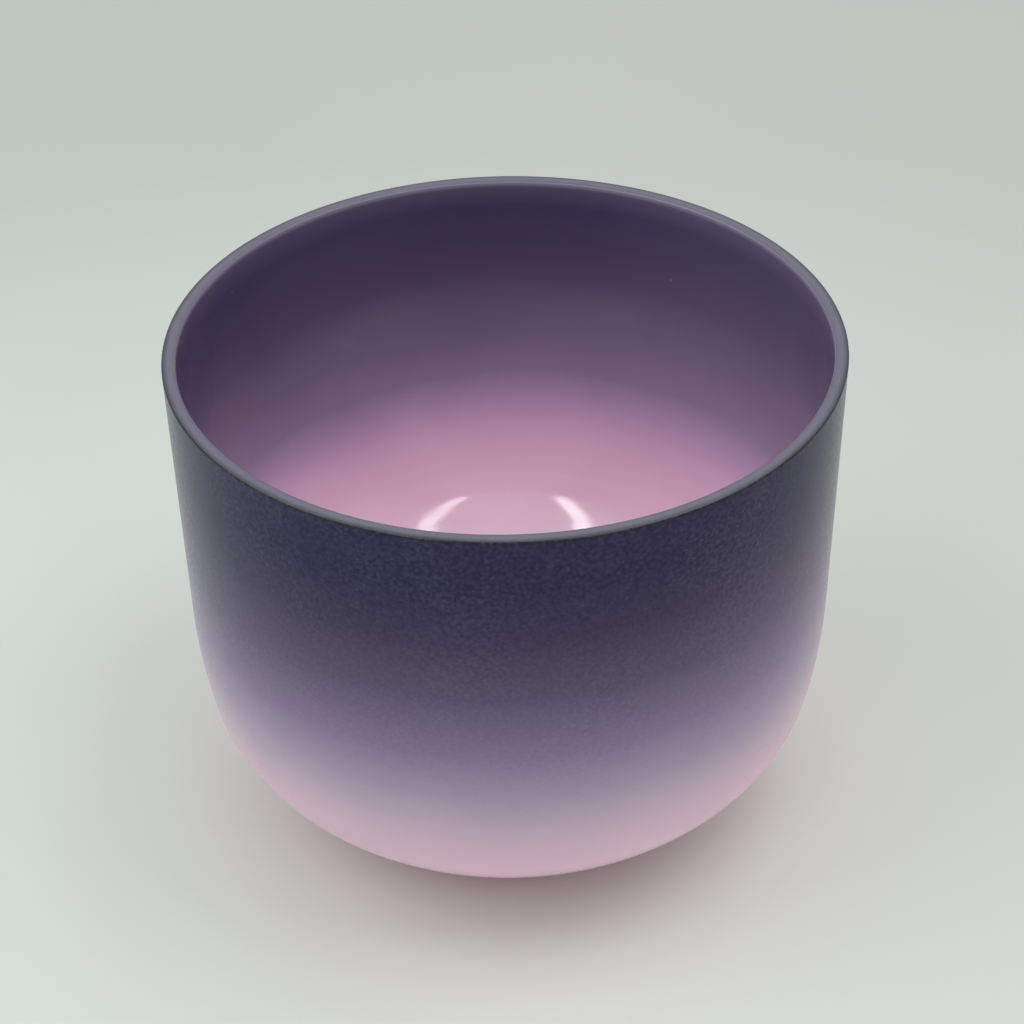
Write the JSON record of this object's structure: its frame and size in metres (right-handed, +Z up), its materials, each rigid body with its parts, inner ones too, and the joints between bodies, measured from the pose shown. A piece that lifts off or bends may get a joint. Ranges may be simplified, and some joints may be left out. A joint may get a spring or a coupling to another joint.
{
  "type": "singing bowl",
  "caption": "Open frosted quartz bowl with straight sides, a rounded base, a ground flat rim and a colour coat that fades from dark to pale.",
  "frame": {"origin": "centre of the flat foot, on the surface that the bowl stands on", "axes": "+Z up along the bowl's axis, towards the open rim; X and Y are level and equal, because the bowl is a solid of revolution"},
  "size_m": [0.2, 0.2, 0.164],
  "materials": {
    "frosted_quartz": "ground satin, opaque with fine bubbles",
    "clear_quartz": "fused smooth, seen only as a line in the rim",
    "matte_coat": "matte mineral lacquer over grain, dark indigo at the rim fading to pink at the base",
    "gloss_coat": "glossy mineral lacquer, dark indigo at the rim fading to pink in the bottom"
  },
  "bodies": {
    "root": {"quartz_shell": "frosted_quartz", "quartz_lining": "clear_quartz", "outer_coat": "matte_coat", "inner_coat": "gloss_coat"}
  },
  "joints": []
}
